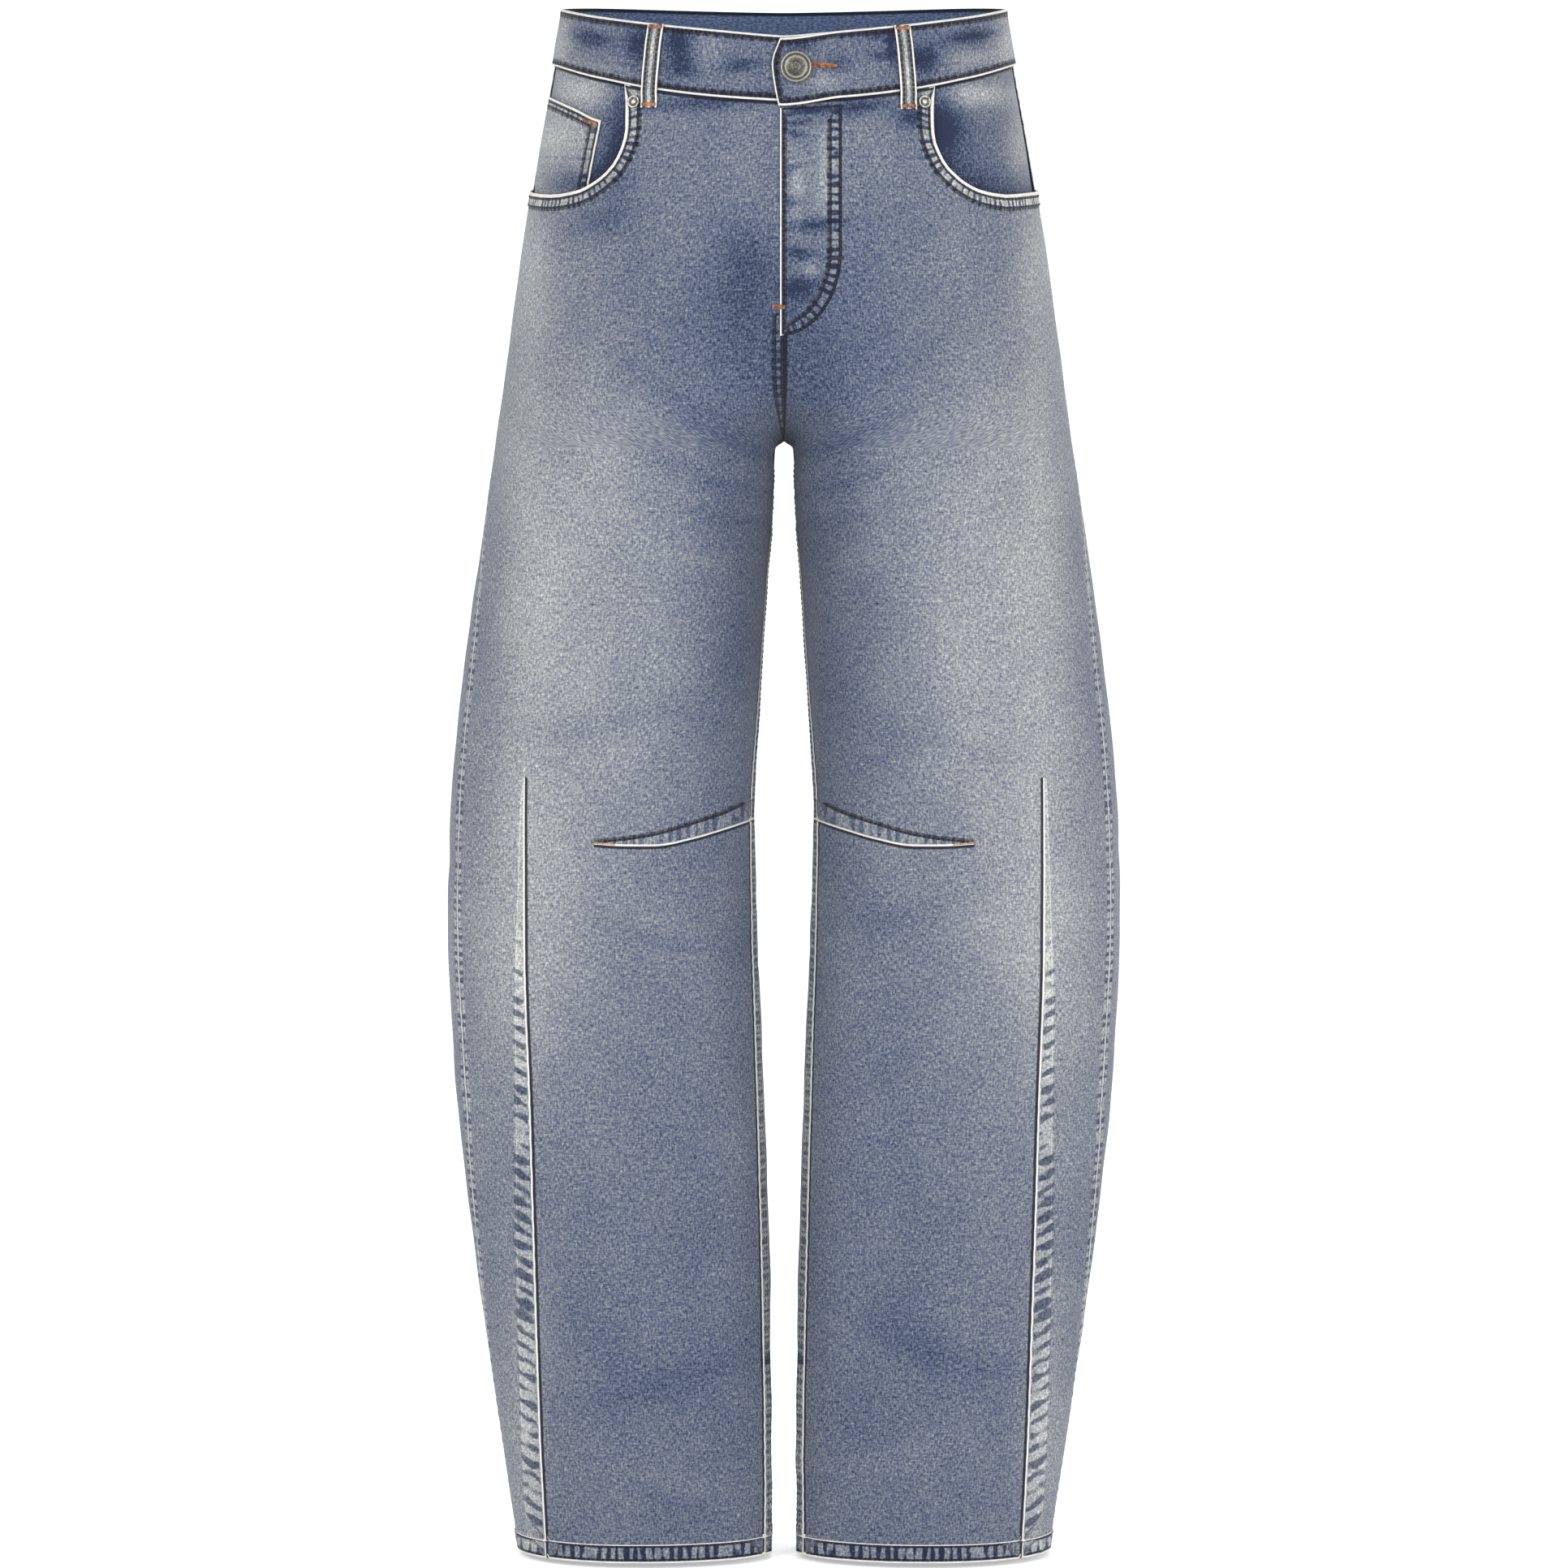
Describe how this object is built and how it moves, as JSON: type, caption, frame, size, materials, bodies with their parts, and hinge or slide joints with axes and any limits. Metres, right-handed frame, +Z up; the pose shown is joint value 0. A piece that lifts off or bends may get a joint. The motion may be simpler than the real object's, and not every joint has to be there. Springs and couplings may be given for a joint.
{
  "type": "jeans",
  "caption": "Barrel-leg denim trousers, filled out and hollow, with a buttoned waistband over a fly, scooped front pockets, a coin pocket, back yokes and patch pockets, open waist and hems.",
  "frame": {"origin": "middle of the waist opening, where the wearer's waist holds the garment up", "axes": "+Z up the garment, -Y out of its front, +X towards the wearer's left"},
  "size_m": [0.456, 0.2561, 1.0485],
  "materials": {
    "denim": "washed mid-blue cotton twill, worn pale at the seams",
    "facing_denim": "unfaded dark blue cotton twill",
    "metal": "antique silver, dull, darker in its recesses"
  },
  "bodies": {
    "root": {"back_left": "denim", "back_pocket_left": "denim", "back_pocket_right": "denim", "back_right": "denim", "belt_loop_back": "denim", "belt_loop_front_left": "denim", "belt_loop_front_right": "denim", "belt_loop_side_left": "denim", "belt_loop_side_right": "denim", "button": "metal", "coin_pocket": "denim", "fly_placket": "denim", "front_left": "denim", "front_right": "denim", "pocket_facing_left": "facing_denim", "pocket_facing_right": "facing_denim", "rivet_left": "metal", "rivet_right": "metal", "waistband": "denim", "yoke_left": "denim", "yoke_right": "denim"}
  },
  "joints": []
}
